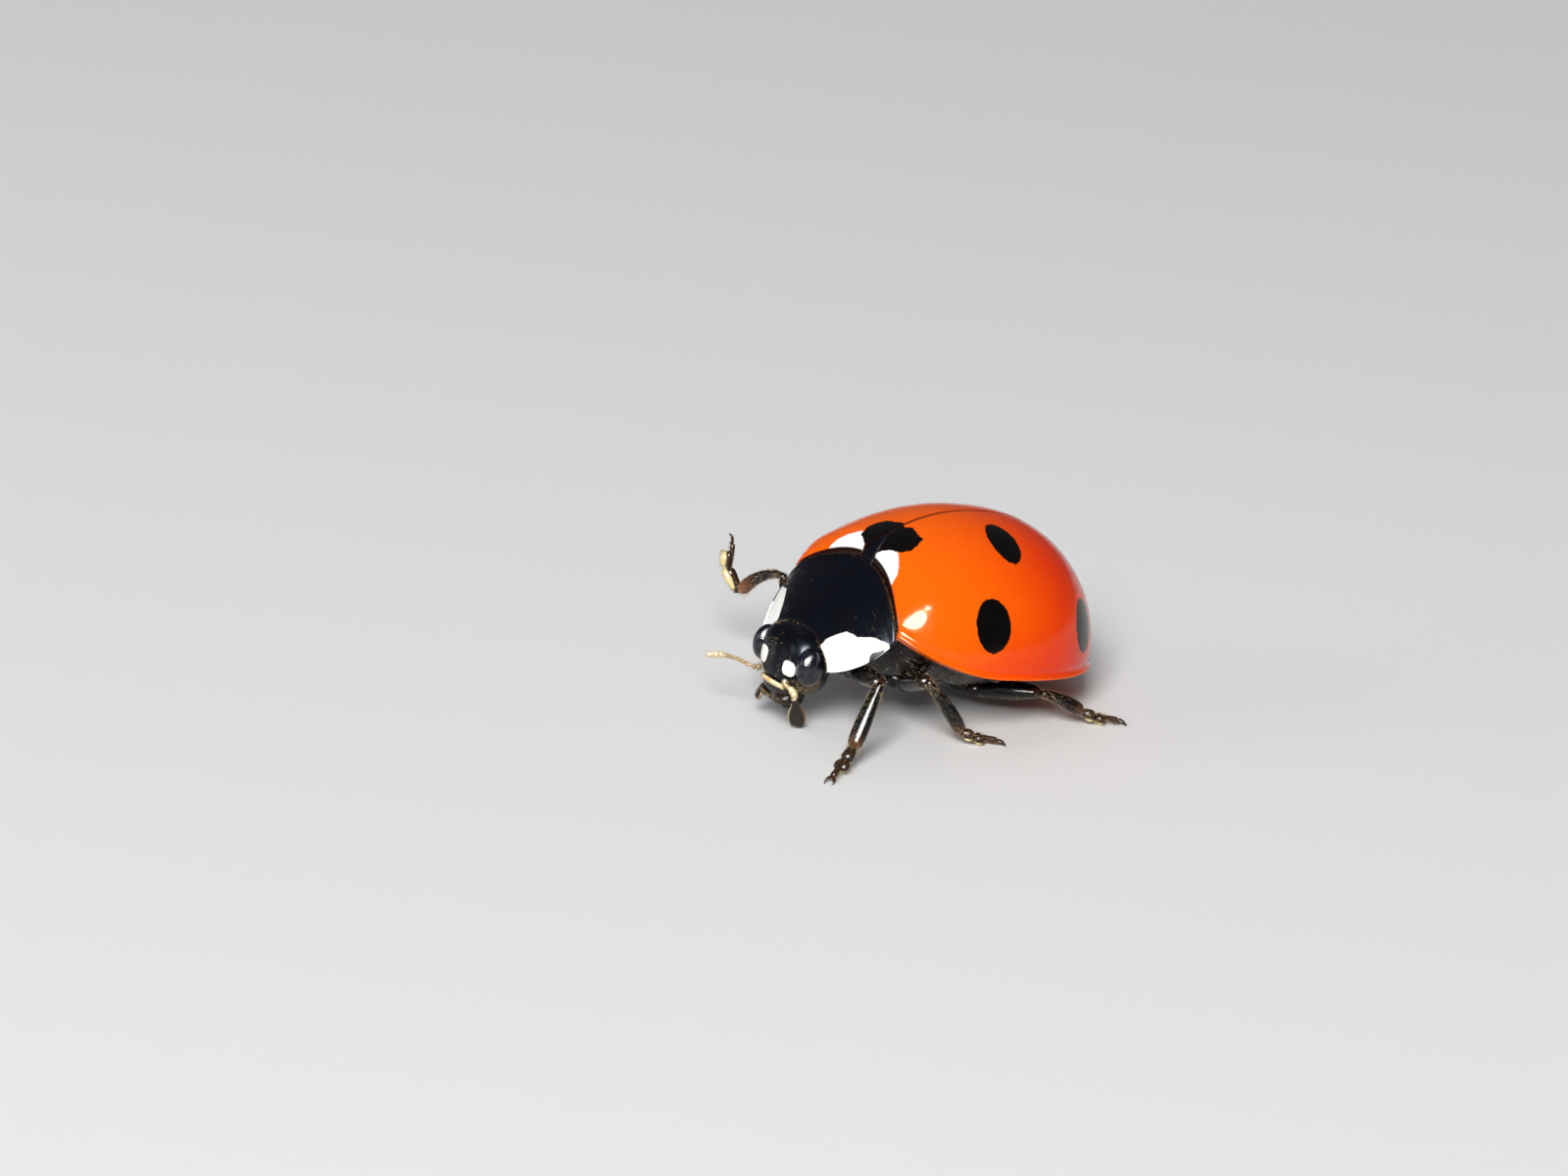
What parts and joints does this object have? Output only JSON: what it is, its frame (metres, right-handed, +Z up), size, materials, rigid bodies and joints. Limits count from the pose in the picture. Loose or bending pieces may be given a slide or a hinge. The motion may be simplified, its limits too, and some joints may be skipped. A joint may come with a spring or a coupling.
{
  "type": "seven-spot ladybird",
  "caption": "Life-size still model of a seven-spot ladybird beetle standing with its right foreleg raised, with domed red wing cases over a black body.",
  "frame": {"origin": "on the floor, under the middle of the beetle's own box", "axes": "+Z up, head towards -Y, the beetle's left side towards +X"},
  "size_m": [0.0074, 0.0082, 0.0041],
  "materials": {
    "wing_case": "glossy orange-red wing cases with black spots and pale marks at the base",
    "black_shield": "glossy bluish-black, finely pitted pronotum, scutellum and head with white marks",
    "underside": "satin black plates of the underside with short pale hairs",
    "leg": "satin black to dark brown legs with short golden hairs",
    "eye": "very glossy black faceted eyes",
    "feeler": "satin yellow-brown antennae and dark brown palps",
    "lip": "pale yellow front edge of the face over a black lip"
  },
  "bodies": {
    "root": {"pronotum": "black_shield", "scutellum": "black_shield", "elytron_left": "wing_case", "elytron_right": "wing_case", "prothorax": "underside", "mesothorax": "underside", "metathorax": "underside", "abdomen": "underside", "head": "black_shield", "labrum": "lip", "mouthparts": "underside", "eye_left": "eye", "eye_right": "eye", "antenna_left_shaft": "feeler", "antenna_left_club": "feeler", "antenna_right_shaft": "feeler", "antenna_right_club": "feeler", "palp_left": "feeler", "palp_right": "feeler", "coxa_front_left": "leg", "femur_front_left": "leg", "tibia_front_left": "leg", "tarsus_front_left": "leg", "coxa_middle_left": "leg", "femur_middle_left": "leg", "tibia_middle_left": "leg", "tarsus_middle_left": "leg", "coxa_hind_left": "leg", "femur_hind_left": "leg", "tibia_hind_left": "leg", "tarsus_hind_left": "leg", "coxa_front_right": "leg", "femur_front_right": "leg", "tibia_front_right": "leg", "tarsus_front_right": "leg", "coxa_middle_right": "leg", "femur_middle_right": "leg", "tibia_middle_right": "leg", "tarsus_middle_right": "leg", "coxa_hind_right": "leg", "femur_hind_right": "leg", "tibia_hind_right": "leg", "tarsus_hind_right": "leg"}
  },
  "joints": []
}
